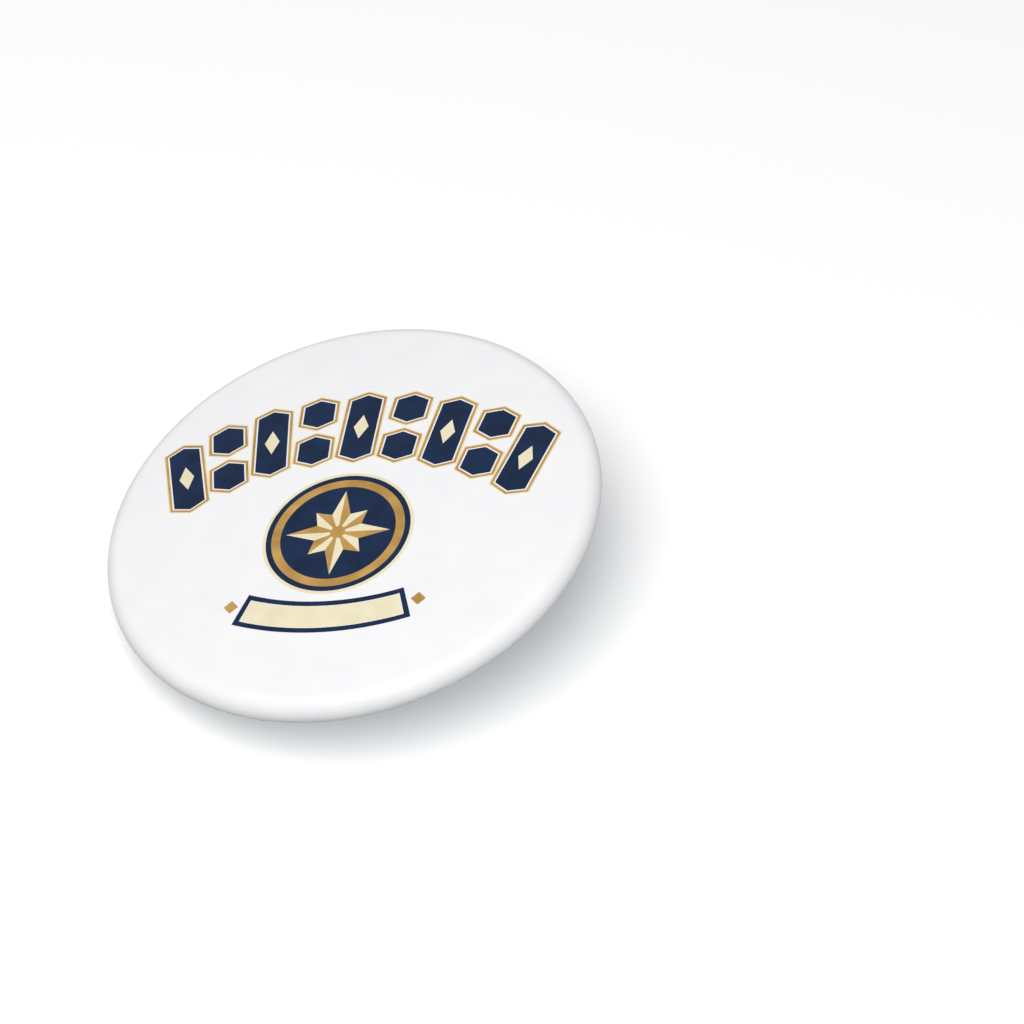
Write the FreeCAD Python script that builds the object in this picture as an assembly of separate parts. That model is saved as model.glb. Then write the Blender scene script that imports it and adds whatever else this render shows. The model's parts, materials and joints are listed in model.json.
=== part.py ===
"""A 58 mm pin-back button badge, drawn as it is worn.

Frame: +Z is the artwork's up, the face looks along -Y and the pin side along +Y.
Shapes are drawn about the badge's own axis, with y = 0 on the back of the plate's flat
middle, and moved at the end so that the origin lies on the pin's straight shank, above
the badge's centre line. Lengths are in millimetres.
"""

import FreeCAD, Part
import math
import os

V = FreeCAD.Vector

# --- the stack of sheets -------------------------------------------------
BADGE_R = 29.0          # widest radius, over the film
APEX_Y = -3.5           # the middle of the domed face
EQUATOR_Y = -0.5        # where the badge is widest
FACE_CORNER_R = 2.1     # roundness between face and side
SKIRT_R = 1.7           # roundness of the skirt that curls in at the back
SKIRT_TURN = 76.0       # degrees that the skirt curls past the widest point
FILM_T = 0.08
PAPER_T = 0.12
SHELL_T = 0.28
PLATE_T = 0.28
INK_T = 0.03
LAYER_GAP = 0.01
SHELL_SHORT = 3.0       # degrees by which the shell's cut edge stops before the wrapping

# --- the back plate ------------------------------------------------------
DISC_R = 20.25          # flat middle
DISH_R = 12.34          # hollow of the polished slope round it
DISH_TURNS = (8.0, 26.5)                # degrees at the disc's edge, and over the slope
STEP_R = 1.0            # bend at the disc's edge
BEAD_R = 0.85
BEAD_FALL = 38.0        # slope of the bead's outer side
TUCK_MOVES = (0.72, (0.5, -44.0), 0.95, (0.3, 62.0), 0.3)   # from the bead into the skirt
HOLE_X = 14.5
HOLE_Z = 5.9
HOLE_LONG = 9.3
HOLE_WIDE = 5.3

# --- the spring pin ------------------------------------------------------
WIRE_R = 0.45
COIL_R = 1.72           # to the middle of the wire
COIL_X = -17.5
COIL_Y = 3.5
COIL_SHIFT = 1.12       # how far the wire moves up the coil's axis over its turns
COIL_SPLIT = 24.0       # degrees of the first turn that belong to the arm
SPLIT_GAP = 0.6         # degrees between the arm's end face and the coil's
ARM_Z = 5.7
ARM_RISE = 12.0         # slope at which the arm leaves the coil
ARM_FALL = 3.0          # slope at which the shank comes down to the catch
ARM_BOW_R = 45.0
ARM_END_X = 20.3
POINT_LONG = 4.9        # the ground, tapering end
POINT_R = 0.06
LEAVE = 90.0 + ARM_RISE                 # where the arm leaves the coil, tangentially
SPLIT = LEAVE + COIL_SPLIT              # where the arm's node meets the coil's
COIL_END = 360.0 + 254.0                # where the coil meets the leg
COIL_SPOTS = 24                         # spans of the coil's curve
BASE_Y = -(PLATE_T + 0.03 + WIRE_R)
BASE_Z = 4.6            # the leg under the plate, and the post of the catch
FOOT_LONG = 2.6         # straight run from the coil down through the hole
LEG_X = COIL_X + 6.6    # where the leg, laid along the plate, turns towards the catch
LEG_SLANT = 0.5         # how much higher the leg lies there
LEG_BENDS = (1.6, 3.0, 30.0, 1.2)
CATCH_X = 16.6
CATCH_BEND_R = 1.1
CATCH_REACH = 2.3       # from the post's middle to the hook's end
CATCH_CLEAR = 0.06      # between the arm and the hook over it

# --- the printed artwork, seen from the front: x right, z up -------------
ARCH_R = 36.7
ARCH_TOP_Z = 11.2       # the middle of the row, at its highest
ARCH_STEP = 8.4         # degrees from one block to the next
BLOCK_COUNT = 9
BLOCK_LEAN = 0.5        # how far a block leans, against its place on the arch
BLOCK_HIGH = 10.3
BLOCK_WIDE = 3.7
BLOCK_TIP = 0.8         # height of a block's pointed end
PAIR_HIGH = 4.35         # each of the two short blocks, and their middles' height
PAIR_Z = 2.975
INLAY = (1.8, 3.8)      # the lozenge in a long block, wide and high
KEYLINE = 0.2
OUTLINE = 0.3
GLOW = 0.15
STAR_Z = -5.0
STAR_POINTS = 8
STAR_R = 6.1
STAR_SHORT = 0.7        # length of the diagonal points, against the upright ones
STAR_WAIST_R = 2.8
BOSS_R = 0.9
RING_EDGES = (8.4, 7.75, 6.7)           # outside of the navy line, gold band, navy middle
HALO_R = 8.8
BAR_Z = -16.9
BAR_R = 30.0
BAR_TURN = 17.5         # degrees each way
BAR_HIGH = 3.0
BAR_LINE = 0.6
BAR_END_X = 10.8        # the small gold lozenge past each end of the bar
BAR_END_SIZE = 0.85


def point(r, y):
    return V(r, y, 0)


def polar(middle, radius, degrees):
    a = math.radians(degrees)
    return V(middle[0] + radius * math.cos(a), middle[1] + radius * math.sin(a), 0)


def arc(middle, radius, start, end):
    """An edge about a middle point, between two angles in degrees."""
    spots = (polar(middle, radius, d) for d in (start, (start + end) / 2, end))
    return Part.Arc(*spots).toShape()


def turned(edges):
    """The solid that a closed outline in the r-y plane sweeps about the badge's axis."""
    face = Part.Face(Part.Wire(Part.__sortEdges__(edges)))
    return face.revolve(V(0, 0, 0), V(0, 1, 0), 360)


def dome_radius():
    """The face's large sphere, tangent to the rounded corner and through the apex."""
    out, up = BADGE_R - FACE_CORNER_R, EQUATOR_Y - APEX_Y
    return (out ** 2 + up ** 2 - FACE_CORNER_R ** 2) / (2 * (up - FACE_CORNER_R))


def skin_curve(depth, skirt_turn):
    """One side of a sheet: face, corner and skirt, each set in by depth."""
    sphere = dome_radius()
    top = (0, APEX_Y + sphere)
    corner = (BADGE_R - FACE_CORNER_R, EQUATOR_Y)
    skirt = (BADGE_R - SKIRT_R, EQUATOR_Y)
    lean = math.degrees(math.atan2(corner[1] - top[1], corner[0]))
    return [
        arc(top, sphere - depth, -90, lean),
        arc(corner, FACE_CORNER_R - depth, lean, 0),
        arc(skirt, SKIRT_R - depth, 0, skirt_turn),
    ]


def sheet(outer, inner, skirt_turn=SKIRT_TURN):
    """A cup between two depths under the badge's outer surface."""
    skirt = (BADGE_R - SKIRT_R, EQUATOR_Y)
    outside, inside = skin_curve(outer, skirt_turn), skin_curve(inner, skirt_turn)
    axis = Part.LineSegment(point(0, APEX_Y + outer), point(0, APEX_Y + inner))
    edge = Part.LineSegment(
        polar(skirt, SKIRT_R - outer, skirt_turn), polar(skirt, SKIRT_R - inner, skirt_turn)
    )
    return turned(outside + inside + [axis.toShape(), edge.toShape()])


def strip(moves, thickness):
    """A bent sheet's section, from the axis outwards.

    Each move is a straight run, as its length, or a bend, as (radius, degrees). The radius
    is that of the side drawn first, and a positive bend turns towards +y. The other side
    lies one thickness towards the face.
    """
    at, heading, edges = point(0, 0), 0.0, []
    under = point(0, -thickness)
    first, last = at, under
    for move in moves:
        ahead = V(math.cos(math.radians(heading)), math.sin(math.radians(heading)), 0)
        left = V(-ahead.y, ahead.x, 0)
        if isinstance(move, tuple):
            radius, turn = move
            side = 1 if turn > 0 else -1
            middle = at + left * radius * side
            start = heading - 90 * side
            edges.append(arc(middle, radius, start, start + turn))
            edges.append(arc(middle, radius + thickness * side, start, start + turn))
            at = polar(middle, radius, start + turn)
            under = polar(middle, radius + thickness * side, start + turn)
            heading += turn
        else:
            edges.append(Part.LineSegment(at, at + ahead * move).toShape())
            edges.append(Part.LineSegment(under, under + ahead * move).toShape())
            at, under = at + ahead * move, under + ahead * move
    edges.append(Part.LineSegment(first, last).toShape())
    edges.append(Part.LineSegment(at, under).toShape())
    return edges, at


def slot_hole(x):
    """A tool that cuts one long round-ended hole through the plate."""
    radius, half = HOLE_WIDE / 2, (HOLE_LONG - HOLE_WIDE) / 2
    deep = 4 * PLATE_T
    tool = Part.makeBox(2 * half, deep, 2 * radius, V(x - half, -deep / 2, HOLE_Z - radius))
    for end in (x - half, x + half):
        round_end = Part.makeCylinder(radius, deep, V(end, -deep / 2, HOLE_Z), V(0, 1, 0))
        tool = tool.fuse(round_end)
    return tool.removeSplitter()


def back_plate():
    moves = [
        DISC_R,
        (STEP_R, DISH_TURNS[0]),
        (DISH_R, DISH_TURNS[1]),
        (BEAD_R, -(sum(DISH_TURNS) + BEAD_FALL)),
        *TUCK_MOVES,
    ]
    edges, end = strip(moves, PLATE_T)
    print("back plate ends at r %.2f, y %.2f" % (end.x, end.y))
    return turned(edges).cut(slot_hole(-HOLE_X)).cut(slot_hole(HOLE_X))


def round_wire(path, radius=WIRE_R):
    """A round wire along a path of lines and arcs that meet tangentially."""
    start = path.Edges[0]
    begin = start.valueAt(start.FirstParameter)
    heading = start.tangentAt(start.FirstParameter)
    circle = Part.Wire(Part.makeCircle(radius, begin, heading))
    return path.makePipeShell([circle], True, True)


def bent_path(corners, radii):
    """Straight runs between corners, each corner rounded by an arc of its own radius."""
    spots = [V(*c) for c in corners]
    edges, at = [], spots[0]
    for before, corner, after, radius in zip(spots, spots[1:], spots[2:], radii):
        back, ahead = (before - corner).normalize(), (after - corner).normalize()
        half = back.getAngle(ahead) / 2
        setback = radius / math.tan(half)
        begin, end = corner + back * setback, corner + ahead * setback
        middle = corner + (back + ahead).normalize() * (radius / math.sin(half) - radius)
        edges.append(Part.LineSegment(at, begin).toShape())
        edges.append(Part.Arc(begin, middle, end).toShape())
        at = end
    edges.append(Part.LineSegment(at, spots[-1]).toShape())
    return Part.Wire(edges)


def coil_point(degrees, turn_z):
    """A spot on the coil's middle line, by its angle about the coil's axis."""
    a = math.radians(degrees)
    return V(COIL_X + COIL_R * math.cos(a), COIL_Y + COIL_R * math.sin(a), turn_z)


def coil_z(degrees):
    """The wire's place along the coil's axis: it starts and ends square to that axis."""
    t = (degrees - SPLIT) / (COIL_END - SPLIT)
    return ARM_Z + COIL_SHIFT * (t - math.sin(2 * math.pi * t) / (2 * math.pi))


def pin_coil():
    """One turn and a half of wire, from the arm round to the foot of the coil."""
    start = SPLIT + SPLIT_GAP
    step = (COIL_END - start) / COIL_SPOTS
    angles = [start + step * i for i in range(COIL_SPOTS + 1)]
    line = Part.BSplineCurve()
    line.interpolate([coil_point(a, coil_z(a)) for a in angles])
    return round_wire(Part.Wire(line.toShape()))


def arm_path():
    """The arm's middle line in its own plane: bow out from the coil, then a straight shank."""
    start = coil_point(LEAVE, ARM_Z)
    rise, fall = math.radians(ARM_RISE), math.radians(ARM_FALL)
    middle = start + V(math.sin(rise), -math.cos(rise), 0) * ARM_BOW_R
    crown = middle + V(0, ARM_BOW_R, 0)
    bow_end = middle + V(math.sin(fall), math.cos(fall), 0) * ARM_BOW_R
    slope = V(math.cos(fall), -math.sin(fall), 0)
    shank_end = bow_end + slope * ((ARM_END_X - POINT_LONG - bow_end.x) / slope.x)
    return start, crown, bow_end, shank_end, slope


def shank_at(x):
    """The spot on the shank's axis at a given x."""
    _, _, bow_end, _, slope = arm_path()
    return bow_end + slope * ((x - bow_end.x) / slope.x)


def pin_arm():
    start, crown, bow_end, shank_end, slope = arm_path()
    curl = Part.Arc(
        coil_point(SPLIT, ARM_Z), coil_point((SPLIT + LEAVE) / 2, ARM_Z), start
    ).toShape()
    bow = Part.Arc(start, crown, bow_end).toShape()
    shank = Part.LineSegment(bow_end, shank_end).toShape()
    wire = round_wire(Part.Wire([curl, bow, shank]))
    tip = Part.makeCone(WIRE_R, POINT_R, POINT_LONG, shank_end, slope)
    return wire.fuse(tip).removeSplitter()


def pin_base_wire():
    """The leg under the plate, up through the far hole, and the catch over the arm."""
    foot = coil_point(COIL_END, coil_z(COIL_END))
    ahead = V(math.sin(math.radians(COIL_END)), -math.cos(math.radians(COIL_END)), 0)
    arm_r = POINT_R + (WIRE_R - POINT_R) * (ARM_END_X - CATCH_X) / POINT_LONG
    hook_y = shank_at(CATCH_X).y + arm_r + CATCH_CLEAR + WIRE_R
    corners = [
        foot,
        foot - ahead * FOOT_LONG,
        V(LEG_X, BASE_Y, BASE_Z + LEG_SLANT),
        V(0, BASE_Y, BASE_Z),
        V(CATCH_X, BASE_Y, BASE_Z),
        V(CATCH_X, hook_y, BASE_Z),
        V(CATCH_X, hook_y, BASE_Z + CATCH_REACH),
    ]
    path = bent_path(corners, [*LEG_BENDS, CATCH_BEND_R])
    wire = round_wire(path)
    end = Part.makeSphere(WIRE_R, corners[-1])
    return wire.fuse(end).removeSplitter()


# --- artwork -------------------------------------------------------------
def flat(x, z):
    return V(x, 0, z)


def plate_of(points):
    spots = [flat(*p) for p in points]
    return Part.Face(Part.makePolygon(spots + spots[:1]))


def disc(radius, x=0.0, z=0.0):
    return Part.Face(Part.Wire(Part.makeCircle(radius, flat(x, z), V(0, 1, 0))))


def block(high, middle=0.0):
    """A six-sided upright block with a point at each end."""
    w, h = BLOCK_WIDE / 2, high / 2
    side = h - BLOCK_TIP
    outline = [(-w, -side), (0, -h), (w, -side), (w, side), (0, h), (-w, side)]
    return [(x, z + middle) for x, z in outline]


def lozenge(wide, high, x=0.0, z=0.0):
    return [(x - wide / 2, z), (x, z - high / 2), (x + wide / 2, z), (x, z + high / 2)]


def placed(points, turn):
    """Points set at an angle on the arch, and leaned a share of that angle."""
    at, lean = math.radians(turn), math.radians(BLOCK_LEAN * turn)
    middle_x = ARCH_R * math.sin(at)
    middle_z = ARCH_TOP_Z - ARCH_R * (1 - math.cos(at))
    return [
        (
            middle_x + x * math.cos(lean) + z * math.sin(lean),
            middle_z - x * math.sin(lean) + z * math.cos(lean),
        )
        for x, z in points
    ]


def grown(face, by):
    """The face widened all round, with pointed corners kept."""
    return face.makeOffset2D(by, 2)


def arch_row():
    """Long blocks with a cream lozenge, turn and turn about with pairs of short ones.

    Round each goes a gold line, with bare paper inside it and a cream edge outside.
    """
    navy, gold, cream = [], [], []
    for i in range(BLOCK_COUNT):
        turn = (i - (BLOCK_COUNT - 1) / 2) * ARCH_STEP
        if i % 2 == 0:
            outlines = [block(BLOCK_HIGH)]
            inlay = plate_of(placed(lozenge(*INLAY), turn))
            cream.append(inlay)
        else:
            outlines = [block(PAIR_HIGH, z) for z in (-PAIR_Z, PAIR_Z)]
            inlay = None
        for outline in outlines:
            face = plate_of(placed(outline, turn))
            line = grown(face, KEYLINE + OUTLINE)
            gold.append(line.cut(grown(face, KEYLINE)))
            cream.append(grown(face, KEYLINE + OUTLINE + GLOW).cut(line))
            navy.append(face.cut(inlay) if inlay else face)
    return navy, gold, cream


def star_spot(radius, degrees):
    a = math.radians(degrees)
    return radius * math.cos(a), STAR_Z + radius * math.sin(a)


def star():
    """Sixteen facets, turn and turn about gold and cream, and the star's whole outline."""
    gold, cream, outline = [], [], []
    step = 360.0 / STAR_POINTS
    for i in range(STAR_POINTS):
        tip = 90 - i * step
        tip_r = STAR_R if i % 2 == 0 else STAR_SHORT * STAR_R
        for side, facets in ((1, cream), (-1, gold)):
            waist = tip + side * step / 2
            corners = ((BOSS_R, tip), (tip_r, tip), (STAR_WAIST_R, waist), (BOSS_R, waist))
            facets.append(plate_of([star_spot(*c) for c in corners]))
        outline += [star_spot(tip_r, tip), star_spot(STAR_WAIST_R, tip - step / 2)]
    gold.append(disc(BOSS_R * math.cos(math.radians(step / 2)), 0, STAR_Z))
    return gold, cream, plate_of(outline)


def bar(grow):
    """A plain curved bar below the star."""
    half, turn = BAR_HIGH / 2 + grow, BAR_TURN + math.degrees(grow / BAR_R)
    middle = BAR_Z + BAR_R
    points = []
    for radius, sign in ((BAR_R + half, 1), (BAR_R - half, -1)):
        for k in range(-4, 5):
            a = math.radians(sign * turn * k / 4)
            points.append((radius * math.sin(a), middle - radius * math.cos(a)))
    return plate_of(points)


def bar_ends():
    """The small gold lozenges at the bar's ends."""
    z = BAR_Z + BAR_R - math.sqrt(BAR_R ** 2 - BAR_END_X ** 2)
    size = 2 * BAR_END_SIZE
    return [plate_of(lozenge(size, size, x, z)) for x in (-BAR_END_X, BAR_END_X)]


def printed(faces):
    """Thin layers of ink, as flat faces pressed onto the domed sheet."""
    top = FILM_T + LAYER_GAP / 2
    layer = sheet(top, top + INK_T)
    solids = []
    for face in faces:
        face.translate(V(0, APEX_Y, 0))
        solids += layer.common(face.extrude(V(0, EQUATOR_Y - APEX_Y, 0))).Solids
    return Part.makeCompound(solids)


def artwork():
    blocks, outlines, inlays = arch_row()
    star_gold, star_cream, whole_star = star()
    rings = [disc(radius, 0, STAR_Z) for radius in (HALO_R,) + RING_EDGES]
    halo, line, band = (a.cut(b) for a, b in zip(rings, rings[1:4]))
    middle = rings[3].cut(whole_star)
    return {
        "ink_navy": blocks + [line, middle, bar(BAR_LINE).cut(bar(0.0))],
        "ink_gold": outlines + star_gold + [band] + bar_ends(),
        "ink_cream": inlays + star_cream + [halo, bar(-0.1)],
    }


def build():
    paper_top = FILM_T + LAYER_GAP + INK_T
    shell_top = paper_top + PAPER_T + LAYER_GAP
    nodes = {
        "clear_film": sheet(0, FILM_T),
        "paper_sheet": sheet(paper_top, paper_top + PAPER_T),
        "front_shell": sheet(shell_top, shell_top + SHELL_T, SKIRT_TURN - SHELL_SHORT),
        "back_plate": back_plate(),
        "pin_base_wire": pin_base_wire(),
        "pin_coil": pin_coil(),
        "pin_arm": pin_arm(),
    }
    nodes.update({name: printed(faces) for name, faces in artwork().items()})
    return nodes


origin = shank_at(0)
os.makedirs("parts", exist_ok=True)
for name, shape in build().items():
    shape.translate(-origin)
    shape.exportStep("parts/%s.step" % name)
    box = shape.BoundBox
    print(
        "%-14s valid %s, %d solids, %.2f mm3, x %.2f..%.2f, y %.2f..%.2f, z %.2f..%.2f"
        % (name, shape.isValid(), len(shape.Solids), shape.Volume, box.XMin, box.XMax,
           box.YMin, box.YMax, box.ZMin, box.ZMax)
    )
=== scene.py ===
import json
import math

import bmesh
import bpy
import numpy as np
from mathutils import Matrix, Vector
from mathutils.geometry import delaunay_2d_cdt

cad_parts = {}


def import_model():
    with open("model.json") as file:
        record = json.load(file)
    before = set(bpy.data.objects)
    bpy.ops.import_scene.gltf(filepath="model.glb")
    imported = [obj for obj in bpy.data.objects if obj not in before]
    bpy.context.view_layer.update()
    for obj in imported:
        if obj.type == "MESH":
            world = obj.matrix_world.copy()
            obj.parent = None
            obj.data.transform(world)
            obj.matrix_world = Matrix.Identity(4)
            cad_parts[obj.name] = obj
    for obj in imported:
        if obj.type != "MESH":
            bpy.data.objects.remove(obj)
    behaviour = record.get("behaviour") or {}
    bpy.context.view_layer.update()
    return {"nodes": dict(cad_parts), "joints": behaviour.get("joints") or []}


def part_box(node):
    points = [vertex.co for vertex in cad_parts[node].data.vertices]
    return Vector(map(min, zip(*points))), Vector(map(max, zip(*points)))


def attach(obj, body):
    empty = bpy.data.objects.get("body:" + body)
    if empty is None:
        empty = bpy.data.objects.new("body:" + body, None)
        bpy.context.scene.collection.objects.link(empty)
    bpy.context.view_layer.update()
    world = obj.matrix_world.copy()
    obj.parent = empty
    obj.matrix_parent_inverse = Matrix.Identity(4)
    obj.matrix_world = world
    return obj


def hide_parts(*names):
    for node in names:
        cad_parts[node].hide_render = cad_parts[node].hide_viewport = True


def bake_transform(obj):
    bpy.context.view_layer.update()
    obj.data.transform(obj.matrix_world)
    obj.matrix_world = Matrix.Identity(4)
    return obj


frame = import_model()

# A 58 mm pin-back button badge. Shapes are worked out in millimetres about the badge's own
# axis: x to the right and z up as seen from the front, y from the plate's flat middle
# towards the wearer. place() brings them into the model's frame, in metres.

MM = 0.001
SHARP = math.radians(50)    # a turn between two faces past which their shading breaks

# --- sizes, in mm --------------------------------------------------------
APEX_DEPTH = 3.5            # from the plate's flat middle to the top of the dome
EQUATOR_Y = -0.5
CORNER_R = 2.1
SKIRT_R = 1.7
SKIRT_TURN = 76.0           # degrees
SHEET_T = 0.18              # the wrapped sheet, which ends just above the shell
FILM_T = 0.08
SKIN_COUNTS = (9, 14, 26)   # points along the dome, the corner and the skirt
SKIRT_START = SKIN_COUNTS[0] + SKIN_COUNTS[1] - 1
EDGE_START = SKIN_COUNTS[0] + 3
FACE_ROUND, LIP_ROUND, PLATE_ROUND = 1440, 1080, 720    # points in a full turn of each
SKIRT_WAVE = 0.030          # the sheet's slow ripples, on the skirt and at the face's edge
EDGE_WAVE = 0.014
PLEAT_COUNT = 62
PLEAT_DEEP = (0.03, 0.09)
PLEAT_WIDE = (0.10, 0.22)
LIP_LAP = 9.0               # degrees of skirt that the film's cut edge covers
LIP_PAST = 4.5              # degrees by which it passes the paper's
LIP_RAGGED = 0.9            # degrees by which it wavers
LIP_DEPTH = 0.02            # how far inside the outer size it lies

DISC_R = 20.25              # the plate's flat middle
PLATE_T = 0.28
STEP_R = 1.0                # the bend at its edge
DISH_R = 12.34              # the hollow slope round it
DISH_TURNS = (8.0, 26.5)    # degrees at the edge, and over the slope
BEAD_R = 0.85
BEAD_FALL = 38.0            # degrees of the bead's outer side
# from the bead into the skirt, as strip() takes its moves
TUCK_MOVES = ((0.72, 5), (0.5, -44.0, 9), (0.95, 5), (0.3, 62.0, 6), (0.3, 2))
# middle radius, half width and height of the plate's unevenness
BEAD_WAVE = (26.3, 1.1, 0.016)
DISH_WAVE = (23.2, 1.5, 0.012)
HOLE_X = 14.5
HOLE_Z = 5.9
HOLE_LONG = 9.3
HOLE_WIDE = 5.3
HOLE_EDGE = 0.09            # roundness of the holes' edges
HOLE_COUNT = 40             # points on each round end of a hole
GAP_SHADE_RING = (26.85, 27.75)  # radii of the ring between the bead and the skirt, which is painted dark as the shade of the gap there

WIRE_R = 0.45
WIRE_SIDES = 28
COIL_R = 1.72
COIL_SHIFT = 1.12           # how far the wire moves up the coil's axis over its turns
COIL_SPLIT = 24.0           # degrees of the first turn that belong to the arm
COIL_ROWS = 150
ARM_Z = 5.7
ARM_RISE = 12.0             # slope at which the arm leaves the coil
ARM_FALL = 3.0              # slope at which its shank comes down to the catch
ARM_BOW_R = 45.0
ARM_END_X = 20.3
POINT_LONG = 4.9
POINT_R = 0.06
LEG_GAP = 0.03              # between the plate and the leg under it
BASE_Y = -(PLATE_T + LEG_GAP + WIRE_R)
BASE_Z = 4.6
LEAVE = 90.0 + ARM_RISE     # the arm leaves the coil tangentially
SPLIT = LEAVE + COIL_SPLIT
COIL_END = 360.0 + 254.0
CATCH_X = 16.6
CATCH_BEND_R = 1.1
CATCH_REACH = 2.3
CATCH_CLEAR = 0.06
HOOK_PAST = 0.8             # wire radii by which the hook passes its reach
HOOK_END = (0.3, 0.72)      # the last stretch of the hook, and its end's share of the radius
FOOT_LONG = 2.6             # straight run from the coil down through the hole
LEG_UNDER_X = 6.6           # from the coil to where the leg is down under the plate
LEG_SLANT = 0.5             # how much higher the leg lies there
LEG_BENDS = (3.6, 3.0, 30.0, 1.2)
BEND_COUNT = 16             # points on each bend
RUN_STEP = 0.6              # least distance between points on a straight run

PRINT_DEPTH = 0.06          # how far inside the outer size the sheet's surface lies
INK_LIFT = 0.012            # the ink's place above that surface
INK_T = 0.02
INK_SUNK = 0.03             # how far a layer's underside lies under its lift
PATCH_EDGE = 0.8            # spacing of an ink patch's points
CIRCLE_COUNT = 96
ARCH_R = 36.7
ARCH_TOP_Z = 11.2
ARCH_STEP = 8.4             # degrees
BLOCK_COUNT = 9
BLOCK_LEAN = 0.5            # how far a block leans, against its place on the arch
BLOCK_HIGH = 10.3
BLOCK_WIDE = 3.7
BLOCK_TIP = 0.8
PAIR_HIGH = 4.35
PAIR_Z = 2.975
INLAY = (1.8, 3.8)
KEYLINE = 0.2               # bare paper round a block
OUTLINE = 0.3               # the gold line round that
GLOW = 0.15                 # the cream edge round the line
STAR_Z = -5.0
STAR_POINTS = 8
STAR_R = 6.1
STAR_SHORT = 0.7
STAR_WAIST_R = 2.8
BOSS_R = 0.9
BOSS_FREE = 0.99            # the boss's share of that, so that it stands clear of the facets
RING_EDGES = (8.4, 7.75, 6.7)           # outside of the navy line, gold band, navy middle
HALO_R = 8.8
BAR_Z = -16.9
BAR_R = 30.0
BAR_TURN = 17.5             # degrees
BAR_HIGH = 3.0
BAR_LINE = 0.6
BAR_INSET = 0.1             # by which the bar's cream stays inside its line
BAR_END_X = 10.8
BAR_END_SIZE = 0.85

# --- places, from the frame ----------------------------------------------
FILM_LOW, FILM_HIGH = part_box("clear_film")
BADGE_R = (FILM_HIGH[0] - FILM_LOW[0]) / 2 / MM
AXIS_X = (FILM_LOW[0] + FILM_HIGH[0]) / 2
AXIS_Z = (FILM_LOW[2] + FILM_HIGH[2]) / 2
FLAT_Y = FILM_LOW[1] + APEX_DEPTH * MM
HINGE = next(j for j in frame["joints"] if j["name"] == "pin_open")["pos_m"]
COIL_X = (HINGE[0] - AXIS_X) / MM
COIL_Y = (HINGE[1] - FLAT_Y) / MM


def place(points):
    """Badge millimetres to the model's frame in metres."""
    return np.asarray(points, float) * MM + np.array([AXIS_X, FLAT_Y, AXIS_Z])


# --- meshes --------------------------------------------------------------
def finish_mesh(name, verts, faces, body, replaces=(), uv=None, weld=2e-7):
    """A smooth-shaded piece from vertices in the frame's metres and a list of faces.

    Vertices closer than weld become one.
    """
    mesh = bpy.data.meshes.new(name)
    mesh.from_pydata(np.asarray(verts).tolist(), [], faces)
    if uv is not None:
        layer = mesh.uv_layers.new(name="along")
        corners = np.empty(len(mesh.loops), int)
        mesh.loops.foreach_get("vertex_index", corners)
        layer.data.foreach_set("uv", np.asarray(uv)[corners].ravel())
    bm = bmesh.new()
    bm.from_mesh(mesh)
    bmesh.ops.remove_doubles(bm, verts=bm.verts, dist=weld)
    bmesh.ops.recalc_face_normals(bm, faces=bm.faces)
    bm.to_mesh(mesh)
    bm.free()
    mesh.polygons.foreach_set("use_smooth", np.ones(len(mesh.polygons), bool))
    mesh.set_sharp_from_angle(angle=SHARP)
    piece = bpy.data.objects.new(name, mesh)
    bpy.context.scene.collection.objects.link(piece)
    if body:
        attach(piece, body)
    if replaces:
        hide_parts(*replaces)
    return piece


def grid_faces(rows, cols):
    """Quads that join neighbouring rows and columns; the last column meets the first."""
    i = np.arange(rows - 1)[:, None] * cols
    a, b = i + np.arange(cols), i + (np.arange(cols) + 1) % cols
    return np.stack([a, b, b + cols, a + cols], axis=-1).reshape(-1, 4).tolist()


def arc_points(middle, radius, start, end, count):
    """Points on a circle between two angles in degrees: middle + radius (cos, sin)."""
    a = np.radians(np.linspace(start, end, count))
    return np.stack([middle[0] + radius * np.cos(a), middle[1] + radius * np.sin(a)], -1)


def joined(*stretches):
    """Point lists end to end, with the repeated joints dropped."""
    out = [stretches[0]]
    for s in stretches[1:]:
        out.append(s[1:] if np.allclose(s[0], out[-1][-1], atol=1e-6) else s)
    return np.concatenate(out)


def outline_normals(profile):
    """Unit normals of an (r, y) outline: its direction turned a quarter turn clockwise."""
    ahead = np.gradient(profile, axis=0)
    normal = np.stack([ahead[:, 1], -ahead[:, 0]], -1)
    return normal / np.linalg.norm(normal, axis=1, keepdims=True)


def swept_round(profile, angle, lift):
    """An (r, y) outline turned about the badge's axis: (r cos a, y, r sin a) at each angle.

    lift is a rows by angles array, in mm, by which each point moves along the outline's normal.
    """
    normal = outline_normals(profile)
    r, y = profile[:, :1] + lift * normal[:, :1], profile[:, 1:] + lift * normal[:, 1:]
    return np.stack([r * np.cos(angle), y, r * np.sin(angle)], -1).reshape(-1, 3)


def all_round(count):
    """Evenly spaced angles of a full turn, in radians."""
    return np.linspace(0, 2 * np.pi, count, endpoint=False)


def wave_sum(angle, rng, orders, size):
    """A smooth closed ripple round the badge: cosines of the given orders with random phases."""
    out = np.zeros_like(angle)
    for n in orders:
        out += np.cos(n * angle + rng.uniform(0, 2 * np.pi)) * rng.uniform(0.4, 1.0)
    return out * size / math.sqrt(len(orders))


# --- the wrapped face ----------------------------------------------------
def dome_radius():
    """The face's sphere: tangent to the rounded corner and through the apex."""
    out, up = BADGE_R - CORNER_R, EQUATOR_Y + APEX_DEPTH
    return (out ** 2 + up ** 2 - CORNER_R ** 2) / (2 * (up - CORNER_R))


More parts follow.
